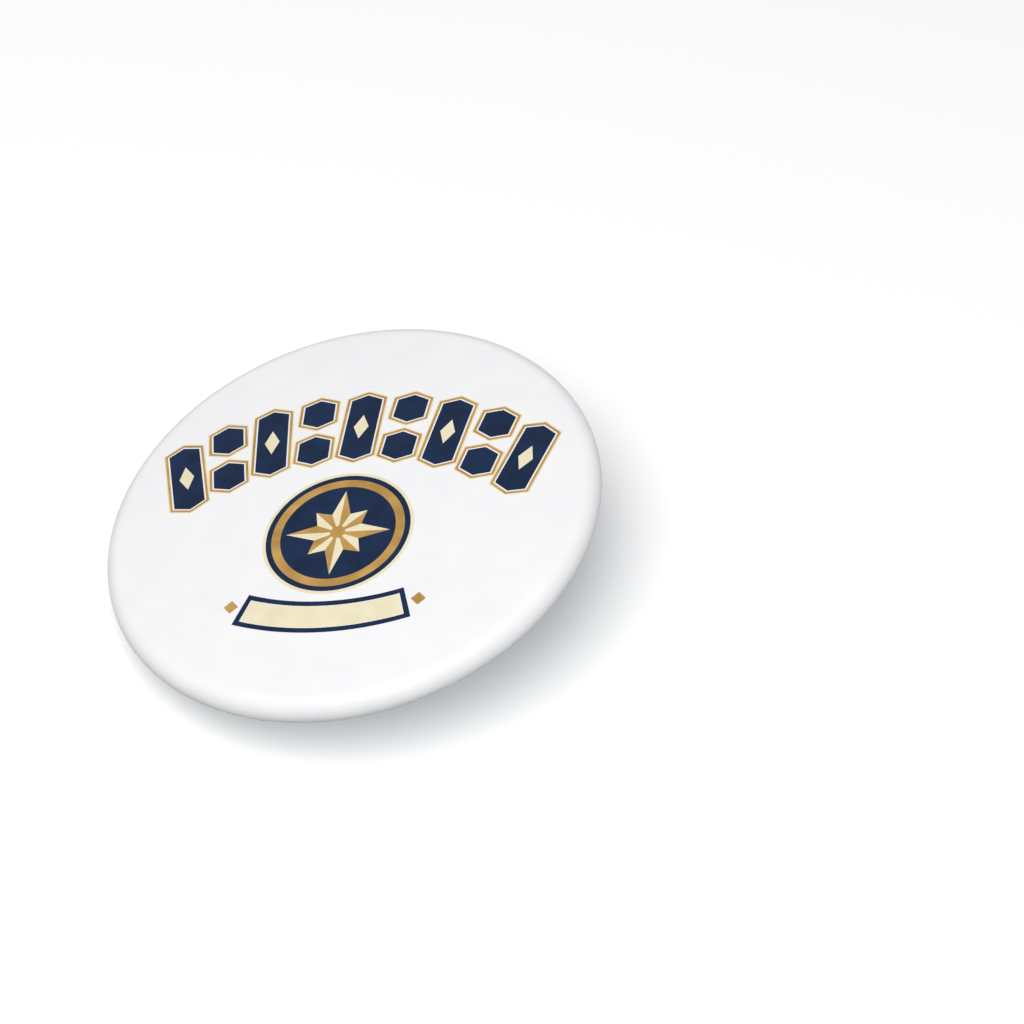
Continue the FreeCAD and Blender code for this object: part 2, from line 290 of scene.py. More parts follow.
def skin_profile(depth, counts):
    """One side of a sheet from the apex to the skirt's edge, set in by depth: an arc of the
    face's sphere, one round the corner and one round the skirt, each tangent to the last."""
    sphere = dome_radius()
    top, corner = (0, sphere - APEX_DEPTH), (BADGE_R - CORNER_R, EQUATOR_Y)
    lean = math.degrees(math.atan2(corner[1] - top[1], corner[0]))
    return joined(
        arc_points(top, sphere - depth, -90, lean, counts[0]),
        arc_points(corner, CORNER_R - depth, lean, 0, counts[1]),
        arc_points((BADGE_R - SKIRT_R, EQUATOR_Y), SKIRT_R - depth, 0, SKIRT_TURN, counts[2]),
    )


def pleats(angle, reach, rng):
    """Creases of a flat sheet gathered over a round edge, in mm.

    Each is a narrow groove, minus a bell curve of the angle, with a softer bell curve beside
    it as its fold. reach runs from 0 at the face to 1 at the skirt's edge. A crease starts
    somewhere along it and leans a little as it goes.
    """
    steps = rng.uniform(0.35, 1.65, PLEAT_COUNT)
    spots = np.cumsum(steps) / steps.sum() * 2 * np.pi
    out = np.zeros((len(reach), len(angle)))
    for spot in spots:
        depth = rng.uniform(*PLEAT_DEEP)
        wide = rng.uniform(*PLEAT_WIDE) / BADGE_R
        begin = rng.choice([-0.15, 0.05, 0.4], p=[0.5, 0.3, 0.2])
        lean = rng.uniform(-0.5, 0.5) * wide * 3
        side = rng.choice([-1, 1])
        grow = np.clip((reach - begin) / 0.3, 0, 1) * np.clip(reach * 6, 0, 1)
        off = (angle[None, :] - spot - lean * reach[:, None] + np.pi) % (2 * np.pi) - np.pi
        groove = -np.exp(-((off / wide) ** 2))
        fold = 0.75 * np.exp(-(((off - side * 2.1 * wide) / (1.6 * wide)) ** 2))
        out += depth * grow[:, None] * (groove + fold)
    return out


def wrapped_face():
    """Film and printed paper as one tight sheet over the dome and round the skirt.

    Its section is the outer side and back along the inner one. reach grows evenly from 0 to 1
    down the skirt, and edge is a sine squared from the face's edge to the skirt's. The inner
    side's first rows follow the skirt's ripples, so their reach is against their own normal.
    """
    rng = np.random.default_rng(58)
    outer = skin_profile(PRINT_DEPTH, SKIN_COUNTS)
    inner = skin_profile(PRINT_DEPTH + SHEET_T, (3, 3, 4))[::-1]
    profile = np.concatenate([outer, inner])
    angle, rows = all_round(FACE_ROUND), len(outer)
    reach, edge = np.zeros(len(profile)), np.zeros(len(profile))
    reach[SKIRT_START:rows] = np.linspace(0, 1, rows - SKIRT_START)
    reach[rows:rows + 2] = (-1.0, -0.6)
    edge[EDGE_START:rows] = np.sin(np.linspace(0, np.pi, rows - EDGE_START)) ** 2
    lift = pleats(angle, reach, rng)
    lift += wave_sum(angle, rng, range(9, 40), SKIRT_WAVE)[None, :] * reach[:, None]
    lift += wave_sum(angle, rng, range(5, 19), EDGE_WAVE)[None, :] * edge[:, None]
    return finish_mesh(
        "wrapped_face", place(swept_round(profile, angle, lift)),
        grid_faces(len(profile), len(angle)), "badge", ["paper_sheet"],
    )


def film_lip():
    """The film's cut edge, standing a hair past the paper's at the back of the skirt: an arc
    of the skirt's circle, carried round the badge, whose end wavers."""
    rng = np.random.default_rng(7)
    middle = (BADGE_R - SKIRT_R, EQUATOR_Y)
    angle = all_round(LIP_ROUND)
    ends = SKIRT_TURN + LIP_PAST + wave_sum(angle, rng, range(7, 60), LIP_RAGGED)
    start = SKIRT_TURN - LIP_LAP
    along = np.linspace(0, 1, 7)[:, None]
    sweep = np.radians(start + (ends[None, :] - start) * along)
    shells = []
    for radius in (SKIRT_R - LIP_DEPTH, SKIRT_R - LIP_DEPTH - FILM_T):
        r, y = middle[0] + radius * np.cos(sweep), middle[1] + radius * np.sin(sweep)
        shells.append(np.stack([r * np.cos(angle), y, r * np.sin(angle)], -1))
    rows = np.concatenate([shells[0], shells[1][::-1], shells[0][:1]])
    return finish_mesh(
        "film_lip", place(rows.reshape(-1, 3)), grid_faces(len(rows), len(angle)),
        "badge", ["clear_film"],
    )


# --- the printed artwork -------------------------------------------------
def on_dome(flat, lift):
    """Points (x, z) set on the domed sheet, lift mm above it: y is the sphere's middle less
    the root of its radius squared less x squared and z squared."""
    flat = np.asarray(flat, float)
    sphere = dome_radius()
    radius = sphere - PRINT_DEPTH + lift
    y = (sphere - APEX_DEPTH) - np.sqrt(radius ** 2 - (flat ** 2).sum(-1))
    return np.stack([flat[:, 0], y, flat[:, 1]], -1)


def split_edges(loop, longest):
    """A closed loop with its long edges cut into equal lengths."""
    loop = np.asarray(loop, float)
    out = []
    for a, b in zip(loop, np.roll(loop, -1, axis=0)):
        n = max(1, math.ceil(np.linalg.norm(b - a) / longest))
        out.append(a + (b - a) * np.arange(n)[:, None] / n)
    return np.concatenate(out)


def inside(loops, spots):
    """Even-odd test of points against closed loops: a point is inside if a line from it
    towards +x crosses an odd number of edges."""
    hit = np.zeros(len(spots), bool)
    for loop in loops:
        a, b = loop, np.roll(loop, -1, axis=0)
        for p, q in zip(a, b):
            crosses = (p[1] > spots[:, 1]) != (q[1] > spots[:, 1])
            with np.errstate(divide="ignore", invalid="ignore"):
                x = p[0] + (spots[:, 1] - p[1]) * (q[0] - p[0]) / (q[1] - p[1])
            hit ^= crosses & (spots[:, 0] < x)
    return hit


def filled(loops, lattice, near):
    """Triangles on the loops' points and the lattice's, kept where their middles lie inside."""
    verts, edges = [], []
    for loop in loops:
        at = len(verts)
        verts += [Vector(p) for p in loop]
        edges += [(at + i, at + (i + 1) % len(loop)) for i in range(len(loop))]
    verts += [Vector(p) for p in lattice]
    spots, _, tris, _, _, _ = delaunay_2d_cdt(verts, edges, [], 0, near)
    spots, tris = np.array([tuple(p) for p in spots]), np.array(tris)
    return spots, tris[inside(loops, spots[tris].mean(1))]


def ink_patch(loops):
    """Triangles filling the space between closed loops, fine enough to follow the dome."""
    loops = [split_edges(loop, PATCH_EDGE) for loop in loops]
    cloud = np.concatenate(loops)
    low, high = cloud.min(0), cloud.max(0)
    xs, zs = (np.arange(low[k] + PATCH_EDGE / 2, high[k], PATCH_EDGE) for k in (0, 1))
    lattice = np.stack(np.meshgrid(xs, zs), -1).reshape(-1, 2)
    if len(lattice):
        lattice = lattice[inside(loops, lattice)]
        gap = np.linalg.norm(lattice[:, None] - cloud[None], axis=-1).min(1)
        lattice = lattice[gap > 0.35 * PATCH_EDGE]
    return filled(loops, lattice, 1e-6)


def grown(loop, by):
    """A convex loop widened all round, with its corners kept: each corner moves along the
    sum of its two edges' normals, divided by one plus the cosine between them."""
    loop = np.asarray(loop, float)
    if ((loop[:, 0] * np.roll(loop[:, 1], -1)) - (np.roll(loop[:, 0], -1) * loop[:, 1])).sum() < 0:
        loop = loop[::-1]
    ahead = np.roll(loop, -1, axis=0) - loop
    ahead /= np.linalg.norm(ahead, axis=1, keepdims=True)
    normal = np.stack([ahead[:, 1], -ahead[:, 0]], -1)
    before = np.roll(normal, 1, axis=0)
    share = 1 + (normal * before).sum(1, keepdims=True)
    return loop + (normal + before) / share * by


def circle(radius, z):
    """A circle about (0, z): radius (cos a, sin a)."""
    a = all_round(CIRCLE_COUNT)
    return np.stack([radius * np.cos(a), z + radius * np.sin(a)], -1)


def block(high, middle=0.0):
    """A six-sided upright block with a point at each end."""
    w, h = BLOCK_WIDE / 2, high / 2
    side = h - BLOCK_TIP
    outline = [(-w, -side), (0, -h), (w, -side), (w, side), (0, h), (-w, side)]
    return np.array(outline) + (0, middle)


def lozenge(wide, high, x=0.0, z=0.0):
    """A four-sided diamond about (x, z)."""
    return np.array([(-wide / 2, 0), (0, -high / 2), (wide / 2, 0), (0, high / 2)]) + (x, z)


def on_arch(points, degrees):
    """Points set at an angle on the arch, and leaned a share of that angle."""
    at, lean = math.radians(degrees), math.radians(BLOCK_LEAN * degrees)
    x, z = np.asarray(points).T
    return np.stack(
        [ARCH_R * math.sin(at) + x * math.cos(lean) + z * math.sin(lean),
         ARCH_TOP_Z - ARCH_R * (1 - math.cos(at)) - x * math.sin(lean) + z * math.cos(lean)], -1
    )


def arch_row():
    """Long blocks with a cream lozenge, turn and turn about with pairs of short ones.

    Round each goes a gold line, with bare paper inside it and a cream edge outside.
    """
    navy, gold, cream = [], [], []
    for i in range(BLOCK_COUNT):
        turn = (i - (BLOCK_COUNT - 1) / 2) * ARCH_STEP
        inlay = [on_arch(lozenge(*INLAY), turn)] if i % 2 == 0 else []
        outlines = [block(BLOCK_HIGH)] if inlay else [block(PAIR_HIGH, z) for z in (-PAIR_Z, PAIR_Z)]
        cream += [inlay] if inlay else []
        for outline in outlines:
            shape = on_arch(outline, turn)
            line = grown(shape, KEYLINE + OUTLINE)
            navy.append([shape] + inlay)
            gold.append([line, grown(shape, KEYLINE)])
            cream.append([grown(shape, KEYLINE + OUTLINE + GLOW), line])
    return navy, gold, cream


def star_spot(radius, degrees):
    """A spot by its distance from the star's middle and its angle from the x direction."""
    a = math.radians(degrees)
    return radius * math.cos(a), STAR_Z + radius * math.sin(a)


def star():
    """Sixteen facets, turn and turn about gold and cream, and the star's whole outline.

    Each tip has a facet on either side, which runs from the boss to the tip and to the waist
    beside it. Every other tip is shorter.
    """
    gold, cream, outline = [], [], []
    step = 360.0 / STAR_POINTS
    for i in range(STAR_POINTS):
        tip = 90 - i * step
        tip_r = STAR_R if i % 2 == 0 else STAR_SHORT * STAR_R
        for side, facets in ((1, cream), (-1, gold)):
            waist = tip + side * step / 2
            corners = ((BOSS_R, tip), (tip_r, tip), (STAR_WAIST_R, waist), (BOSS_R, waist))
            facets.append([np.array([star_spot(*c) for c in corners])])
        outline += [star_spot(tip_r, tip), star_spot(STAR_WAIST_R, tip - step / 2)]
    boss = [star_spot(BOSS_FREE * BOSS_R, 90 - k * step / 2) for k in range(2 * STAR_POINTS)]
    gold.append([np.array(boss)])
    return gold, cream, np.array(outline)


def bar(grow):
    """A plain curved bar below the star, between two arcs about one middle, grown all round."""
    half, turn = BAR_HIGH / 2 + grow, BAR_TURN + math.degrees(grow / BAR_R)
    middle = (0.0, BAR_Z + BAR_R)
    low = arc_points(middle, BAR_R + half, -90 - turn, -90 + turn, 33)
    high = arc_points(middle, BAR_R - half, -90 + turn, -90 - turn, 33)
    return np.concatenate([low, high])


def ink(colour, patches):
    """A thin closed layer of one colour on the sheet: a top, a bottom and a wall round each edge."""
    verts, faces, base = [], [], 0
    for loops in patches:
        spots, tris = ink_patch(loops)
        top, low = on_dome(spots, INK_LIFT + INK_T), on_dome(spots, INK_LIFT - INK_SUNK)
        n = len(spots)
        sides = np.concatenate([tris[:, [0, 1]], tris[:, [1, 2]], tris[:, [2, 0]]])
        seen = {tuple(e) for e in sides.tolist()}
        rim = [e for e in seen if (e[1], e[0]) not in seen]
        verts += [top, low]
        faces += (tris + base).tolist() + (tris[:, ::-1] + base + n).tolist()
        faces += [(b + base, a + base, a + base + n, b + base + n) for a, b in rim]
        base += 2 * n
    node = "ink_" + colour
    return finish_mesh(
        colour + "_print", place(np.concatenate(verts)), faces, "badge", [node]
    )


def bar_ends():
    """The small gold lozenges at the bar's ends, on the circle of its middle line."""
    z = BAR_Z + BAR_R - math.sqrt(BAR_R ** 2 - BAR_END_X ** 2)
    size = 2 * BAR_END_SIZE
    return [[lozenge(size, size, x, z)] for x in (-BAR_END_X, BAR_END_X)]


def artwork():
    """The three inks: the arched row, the star in its rings, and the bar below it."""
    blocks, outlines, inlays = arch_row()
    star_gold, star_cream, whole_star = star()
    halo, line, band, middle = (circle(r, STAR_Z) for r in (HALO_R,) + RING_EDGES)
    return [
        ink("navy", blocks + [[line, band], [middle, whole_star], [bar(BAR_LINE), bar(0.0)]]),
        ink("gold", outlines + star_gold + [[band, middle]] + bar_ends()),
        ink("cream", inlays + star_cream + [[halo, line], [bar(-BAR_INSET)]]),
    ]


# --- the back plate ------------------------------------------------------
def strip(moves, thickness):
    """Both sides of a bent sheet's section, from the axis outwards.

    A move is a straight run (length, count) or a bend (radius, degrees, count). A positive
    bend turns towards the wearer, and the other side lies one thickness towards the face.
    """
    at, heading = np.array([0.0, 0.0]), 0.0
    upper, lower = [np.array([at])], [np.array([at - (0, thickness)])]
    for move in moves:
        ahead = np.array([math.cos(math.radians(heading)), math.sin(math.radians(heading))])
        left = np.array([-ahead[1], ahead[0]])
        if len(move) == 3:
            radius, turn, count = move
            side = 1 if turn > 0 else -1
            middle, start = at + left * radius * side, heading - 90 * side
            upper.append(arc_points(middle, radius, start, start + turn, count))
            lower.append(arc_points(middle, radius + thickness * side, start, start + turn, count))
            heading += turn
        else:
            run = np.linspace(0, move[0], move[1])[:, None] * ahead
            upper.append(at + run)
            lower.append(at - left * thickness + run)
        at = upper[-1][-1]
    return joined(*upper), joined(*lower)


def slot_outline(x, outset):
    """A long round-ended outline, grown by outset: two half circles joined by straights."""
    radius, half = HOLE_WIDE / 2, (HOLE_LONG - HOLE_WIDE) / 2
    right = arc_points((x + half, HOLE_Z), radius + outset, -90, 90, HOLE_COUNT)
    left = arc_points((x - half, HOLE_Z), radius + outset, 90, 270, HOLE_COUNT)
    return np.concatenate([right, left])


def flat_middle(rim, y, hole_outset, flip):
    """The plate's flat disc with its two holes cut out, at height y."""
    holes = [slot_outline(x, hole_outset) for x in (-HOLE_X, HOLE_X)]
    spots, tris = filled([rim] + holes, [], 1e-7)
    if flip:
        tris = tris[:, ::-1]
    return np.stack([spots[:, 0], np.full(len(spots), y), spots[:, 1]], -1), tris


def back_plate():
    """The stamped plate: flat middle, dished slope, bead and the flange inside the skirt.

    Its section past the flat middle is turned about the axis, and bell curves of the radius
    say where it is uneven. The middle is flat triangles round the two holes, and each hole's
    wall is rounded at the top by a quarter circle.
    """
    rng = np.random.default_rng(21)
    slope = [(DISC_R, 2), (STEP_R, DISH_TURNS[0], 5), (DISH_R, DISH_TURNS[1], 26)]
    bead = (BEAD_R, -(sum(DISH_TURNS) + BEAD_FALL), 24)
    upper, lower = strip([*slope, bead, *TUCK_MOVES], PLATE_T)
    profile = joined(upper[1:], lower[1:][::-1][::2], lower[1:2])
    angle = all_round(PLATE_ROUND)
    shown = np.arange(len(profile)) < len(upper) - 1
    lift = np.zeros((len(profile), len(angle)))
    for (middle, half, high), orders in ((BEAD_WAVE, range(4, 34)), (DISH_WAVE, range(2, 11))):
        share = np.exp(-(((profile[:, 0] - middle) / half) ** 2)) * shown
        lift += share[:, None] * wave_sum(angle, rng, orders, high)[None, :]
    verts = [swept_round(profile, angle, -lift)]
    faces = grid_faces(len(profile), len(angle))
    rim = np.stack([DISC_R * np.cos(angle), DISC_R * np.sin(angle)], -1)
    base = len(verts[0])
    for y, outset, flip in ((0.0, HOLE_EDGE, True), (-PLATE_T, 0.0, False)):
        spots, tris = flat_middle(rim, y, outset, flip)
        verts.append(spots)
        faces += (tris + base).tolist()
        base += len(spots)
    for x in (-HOLE_X, HOLE_X):
        wall = []
        for t in np.radians(np.linspace(0, 90, 5)):
            loop = slot_outline(x, HOLE_EDGE * (1 - math.sin(t)))
            wall.append(np.insert(loop, 1, -HOLE_EDGE * (1 - math.cos(t)), axis=1))
        wall.append(np.insert(slot_outline(x, 0.0), 1, -PLATE_T, axis=1))
        rows = np.stack(wall)
        verts.append(rows.reshape(-1, 3))
        faces += (np.array(grid_faces(len(rows), rows.shape[1])) + base).tolist()
        base += rows.shape[0] * rows.shape[1]
    return finish_mesh(
        "plate_skin", place(np.concatenate(verts)), faces, "badge", ["back_plate"],
        weld=5e-7,
    )


# --- the spring pin ------------------------------------------------------
def tube(name, path, radii, node, body):
    """A round wire along a path, in mm, in place of a CAD node.

    Each ring is the one before it, carried along without twist: its side vector loses its
    part along the new tangent and is made unit length again.
    """
    path, radii = np.asarray(path, float), np.asarray(radii, float)
    tangent = np.gradient(path, axis=0)
    tangent /= np.linalg.norm(tangent, axis=1, keepdims=True)
    side = np.cross(tangent[0], (0.0, 0.3, 1.0))
    across = []
    for t in tangent:
        side = side - t * side.dot(t)
        side /= np.linalg.norm(side)
        across.append(side)
    across = np.array(across)
    up = np.cross(tangent, across)
    a = all_round(WIRE_SIDES)
    ring = across[:, None] * np.cos(a)[None, :, None] + up[:, None] * np.sin(a)[None, :, None]
    verts = path[:, None] + ring * radii[:, None, None]
    length = np.concatenate([[0], np.cumsum(np.linalg.norm(np.diff(path, axis=0), axis=1))])
    round_share = np.repeat(a[None] / (2 * np.pi), len(path), 0)
    uv = np.stack([round_share, np.repeat(length[:, None], WIRE_SIDES, 1)], -1)
    return finish_mesh(
        name, place(verts.reshape(-1, 3)), grid_faces(len(path), WIRE_SIDES), body,
        [node], uv=uv.reshape(-1, 2),
    )


def coil_point(degrees, z):
    """Spots on the coil's middle line by their angle about its axis."""
    a = np.radians(degrees)
    height = np.full_like(a, z)
    return np.stack([COIL_X + COIL_R * np.cos(a), COIL_Y + COIL_R * np.sin(a), height], -1)


def coil_z(degrees):
    """The wire's place along the coil's axis: its share t of the turns less a full sine of t,
    so it starts and ends square to that axis."""
    t = (degrees - SPLIT) / (COIL_END - SPLIT)
    return ARM_Z + COIL_SHIFT * (t - np.sin(2 * np.pi * t) / (2 * np.pi))


def capped(path, radii):
    """Flat ends: a ring shrunk to almost nothing is added in the plane of the first ring and
    in that of the last."""
    path = np.concatenate([path[:1], path, path[-1:]])
    path[0] -= (path[2] - path[1]) * 1e-3
    path[-1] += (path[-2] - path[-3]) * 1e-3
    return path, np.concatenate([[1e-5], radii, [1e-5]])


def pin_coil():
    """The coil's turns, as a wire piece that is put on no body."""
    angle = np.linspace(SPLIT, COIL_END, COIL_ROWS)
    path, radii = capped(coil_point(angle, coil_z(angle)), np.full(COIL_ROWS, WIRE_R))
    piece = tube("coil_turns", path, radii, "pin_coil", None)
    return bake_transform(piece)


def arm_lines():
    """The middle of the arm's bow, the bow's far end, and the direction of the straight shank."""
    rise, fall = math.radians(ARM_RISE), math.radians(ARM_FALL)
    start = coil_point(np.array([LEAVE]), ARM_Z)[0]
    middle = start + np.array([math.sin(rise), -math.cos(rise), 0]) * ARM_BOW_R
    slope = np.array([math.cos(fall), -math.sin(fall), 0])
    bow_end = middle + np.array([math.sin(fall), math.cos(fall), 0]) * ARM_BOW_R
    return middle, bow_end, slope


def shank_at(x):
    """The spot on the shank's middle line at x."""
    _, bow_end, slope = arm_lines()
    return bow_end + slope * ((x - bow_end[0]) / slope[0])


def point_r(left):
    """The wire's radius at a share of the ground point's length from its tip."""
    return POINT_R + (WIRE_R - POINT_R) * left


def pin_arm():
    """The first of the coil, the bow, the straight shank and the ground point."""
    middle, bow_end, slope = arm_lines()
    curl = coil_point(np.linspace(SPLIT, LEAVE, 8), ARM_Z)
    a = np.radians(np.linspace(90 + ARM_RISE, 90 - ARM_FALL, 40))
    bow = middle + ARM_BOW_R * np.stack([np.cos(a), np.sin(a), 0 * a], -1)
    tip = shank_at(ARM_END_X)
    x = np.concatenate([
        np.linspace(bow_end[0], tip[0] - POINT_LONG, 24)[1:],
        tip[0] - POINT_LONG + POINT_LONG * np.linspace(0, 1, 26)[1:],
    ])
    shank = bow_end + slope * ((x - bow_end[0]) / slope[0])[:, None]
    path = joined(curl, bow, shank)
    left = np.clip((tip[0] - path[:, 0]) / POINT_LONG, 0, 1)
    return tube("arm_wire", *capped(path, point_r(left)), "pin_arm", "arm")


def bent_path(corners, radii):
    """Straight runs whose corners are rounded by arcs of the given radii. An arc's middle lies
    on the corner's bisector, a radius over the sine of half the corner away."""
    spots = [np.array(c, float) for c in corners]
    out = [spots[0][None]]
    for before, corner, after, radius in zip(spots, spots[1:], spots[2:], radii):
        back = (before - corner) / np.linalg.norm(before - corner)
        ahead = (after - corner) / np.linalg.norm(after - corner)
        half = math.acos(np.clip(back.dot(ahead), -1, 1)) / 2
        both = (back + ahead) / np.linalg.norm(back + ahead)
        middle = corner + both * radius / math.sin(half)
        begin = corner + back * radius / math.tan(half) - middle
        end = corner + ahead * radius / math.tan(half) - middle
        sweep = math.pi - 2 * half
        t = np.linspace(0, 1, BEND_COUNT)[:, None]
        arc = (np.sin((1 - t) * sweep) * begin + np.sin(t * sweep) * end) / math.sin(sweep)
        start = out[-1][-1]
        gap = np.linalg.norm(middle + begin - start)
        run = np.linspace(0, 1, max(3, int(gap / RUN_STEP)))[1:-1, None]
        out += [start + (middle + begin - start) * run, middle + arc]
    start = out[-1][-1]
    run = np.linspace(0, 1, 8)[1:, None]
    out.append(start + (spots[-1] - start) * run)
    return np.concatenate(out)


def pin_base_wire():
    """The leg through the hole and under the plate, the post of the catch and its hook."""
    foot = coil_point(np.array([COIL_END]), coil_z(COIL_END))[0]
    end = math.radians(COIL_END)
    down = foot - FOOT_LONG * np.array([math.sin(end), -math.cos(end), 0])
    arm_r = point_r((ARM_END_X - CATCH_X) / POINT_LONG)
    hook_y = shank_at(CATCH_X)[1] + arm_r + CATCH_CLEAR + WIRE_R
    corners = [
        foot, down, (COIL_X + LEG_UNDER_X, BASE_Y, BASE_Z + LEG_SLANT), (0, BASE_Y, BASE_Z),
        (CATCH_X, BASE_Y, BASE_Z), (CATCH_X, hook_y, BASE_Z),
        (CATCH_X, hook_y, BASE_Z + CATCH_REACH + HOOK_PAST * WIRE_R),
    ]
    path = bent_path(corners, [*LEG_BENDS, CATCH_BEND_R])
    # the hook's end rounds off: its radius grows as the root of the distance from the end
    stretch, least = HOOK_END
    away = np.clip(np.linalg.norm(path - path[-1], axis=1) / stretch, 0, 1)
    radii = WIRE_R * (least + (1 - least) * np.sqrt(away))
    return tube("base_wire", *capped(path, radii), "pin_base_wire", "badge")


# --- materials -----------------------------------------------------------
def linear(red, green, blue):
    """A display colour of 0..255 steps as linear light."""
    c = np.array([red, green, blue]) / 255
    c = np.where(c <= 0.04045, c / 12.92, ((c + 0.055) / 1.055) ** 2.4)
    return (*c.tolist(), 1.0)


def add(tree, kind, values=None, **settings):
    """A node with its settings and its unlinked socket values."""
    made = tree.nodes.new(kind)
    for key, value in settings.items():
        setattr(made, key, value)
    for key, value in (values or {}).items():
        made.inputs[key].default_value = value
    return made


def new_group(name, inputs, outputs):
    """An empty node group with its named inputs and outputs, and its two end nodes."""
    group = bpy.data.node_groups.new(name, "ShaderNodeTree")
    for label, (kind, value) in inputs.items():
        socket = group.interface.new_socket(name=label, in_out="INPUT", socket_type=kind)
        if value is not None:
            socket.default_value = value
    for label, kind in outputs.items():
        group.interface.new_socket(name=label, in_out="OUTPUT", socket_type=kind)
    return group, group.nodes.new("NodeGroupInput"), group.nodes.new("NodeGroupOutput")


def grain_group():
    """Even speckle: fine noise round a middle value, and the height that goes with it."""
    group, source, out = new_group(
        "fine_grain",
        {"Vector": ("NodeSocketVector", None), "Grains per mm": ("NodeSocketFloat", 4.0),
         "Middle": ("NodeSocketFloat", 0.4), "Spread": ("NodeSocketFloat", 0.1)},
        {"Value": "NodeSocketFloat", "Height": "NodeSocketFloat"},
    )
    noise = add(group, "ShaderNodeTexNoise", {"Detail": 3.0, "Roughness": 0.6})
    group.links.new(source.outputs["Vector"], noise.inputs["Vector"])
    group.links.new(source.outputs["Grains per mm"], noise.inputs["Scale"])
    centred = add(group, "ShaderNodeMath", {1: 0.5}, operation="SUBTRACT")
    group.links.new(noise.outputs["Fac"], centred.inputs[0])
    spread = add(group, "ShaderNodeMath", operation="MULTIPLY_ADD")
    group.links.new(centred.outputs[0], spread.inputs[0])
    group.links.new(source.outputs["Spread"], spread.inputs[1])
    group.links.new(source.outputs["Middle"], spread.inputs[2])
    group.links.new(spread.outputs[0], out.inputs["Value"])
    group.links.new(noise.outputs["Fac"], out.inputs["Height"])
    return group


def tone_group():
    """Slow drift between two colours, as print and rolled metal have."""
    group, source, out = new_group(
        "slow_tone",
        {"Vector": ("NodeSocketVector", None), "Scale": ("NodeSocketFloat", 0.2),
         "Colour A": ("NodeSocketColor", None), "Colour B": ("NodeSocketColor", None)},
        {"Color": "NodeSocketColor"},
    )
    noise = add(group, "ShaderNodeTexNoise", {"Detail": 2.0, "Roughness": 0.45})
    group.links.new(source.outputs["Vector"], noise.inputs["Vector"])
    group.links.new(source.outputs["Scale"], noise.inputs["Scale"])
    wide = add(group, "ShaderNodeMapRange", {"From Min": 0.32, "From Max": 0.68})
    group.links.new(noise.outputs["Fac"], wide.inputs["Value"])
    mix = add(group, "ShaderNodeMix", data_type="RGBA")
    group.links.new(wide.outputs["Result"], mix.inputs["Factor"])
    group.links.new(source.outputs["Colour A"], mix.inputs[6])
    group.links.new(source.outputs["Colour B"], mix.inputs[7])
    group.links.new(mix.outputs[2], out.inputs["Color"])
    return group


GRAIN, TONE = grain_group(), tone_group()


class Finish:
    """A material with its Principled shader and coordinates in badge millimetres."""

    def __init__(self, name, **sockets):
        self.mat = bpy.data.materials.new(name)
        self.mat.use_nodes = True
        self.tree = self.mat.node_tree
        self.shader = self.tree.nodes["Principled BSDF"]
        for key, value in sockets.items():
            self.shader.inputs[key.replace("_", " ")].default_value = value
        coords = add(self.tree, "ShaderNodeTexCoord")
        scale = add(self.tree, "ShaderNodeMapping")
        scale.inputs["Scale"].default_value = (1 / MM,) * 3
        scale.inputs["Location"].default_value = (-AXIS_X / MM, -FLAT_Y / MM, -AXIS_Z / MM)
        self.tree.links.new(coords.outputs["Object"], scale.inputs["Vector"])
        self.spot = scale.outputs["Vector"]
        self.coords = coords

    def link(self, a, b):
        """Joins an output to an input."""
        self.tree.links.new(a, b)

    def node(self, kind, values=None, **settings):
        """A new node of this material."""
        return add(self.tree, kind, values, **settings)

    def grain(self, per_mm, middle=0.5, spread=0.1, vector=None):
        """The fine grain group with its own values."""
        made = self.node("ShaderNodeGroup", node_tree=GRAIN)
        made.inputs["Grains per mm"].default_value = per_mm
        made.inputs["Middle"].default_value = middle
        made.inputs["Spread"].default_value = spread
        self.link(vector or self.spot, made.inputs["Vector"])
        return made

    def tone(self, scale, a, b):
        """The slow drift between two colours."""
        made = self.node("ShaderNodeGroup", node_tree=TONE)
        made.inputs["Scale"].default_value = scale
        made.inputs["Colour A"].default_value = a
        made.inputs["Colour B"].default_value = b
        self.link(self.spot, made.inputs["Vector"])
        return made.outputs["Color"]

    def bump(self, height, depth_mm, before=None):
        """A bump of this depth, laid over the one before it."""
        made = self.node("ShaderNodeBump", {"Strength": 1.0, "Distance": depth_mm * MM})
        self.link(height, made.inputs["Height"])
        if before is not None:
            self.link(before, made.inputs["Normal"])
        return made.outputs["Normal"]


def under_film(name, a, b, tone_scale=0.25):
    """Paper or ink seen through the satin film: fine tooth, slow drift of tone, soft gloss."""
    f = Finish(name, Coat_Weight=0.12, Coat_Roughness=0.25, Specular_IOR_Level=0.25)
    f.link(f.tone(tone_scale, a, b), f.shader.inputs["Base Color"])
    fine = f.grain(5.0, 0.46, 0.16)
    f.link(fine.outputs["Value"], f.shader.inputs["Roughness"])
    soft = f.grain(0.9)
    normal = f.bump(soft.outputs["Height"], 0.0006)
    f.link(f.bump(fine.outputs["Height"], 0.0028, normal), f.shader.inputs["Normal"])
    return f.mat


def clear_edge():
    """The film's cut edge: bright, nearly clear, glossy."""
    f = Finish("film_edge", Coat_Weight=0.6, Coat_Roughness=0.1, IOR=1.5)
    fine = f.grain(3.0, 0.25, 0.2)
    f.link(fine.outputs["Value"], f.shader.inputs["Roughness"])
    f.link(f.tone(0.4, linear(246, 247, 247), linear(225, 228, 230)), f.shader.inputs["Base Color"])
    return f.mat


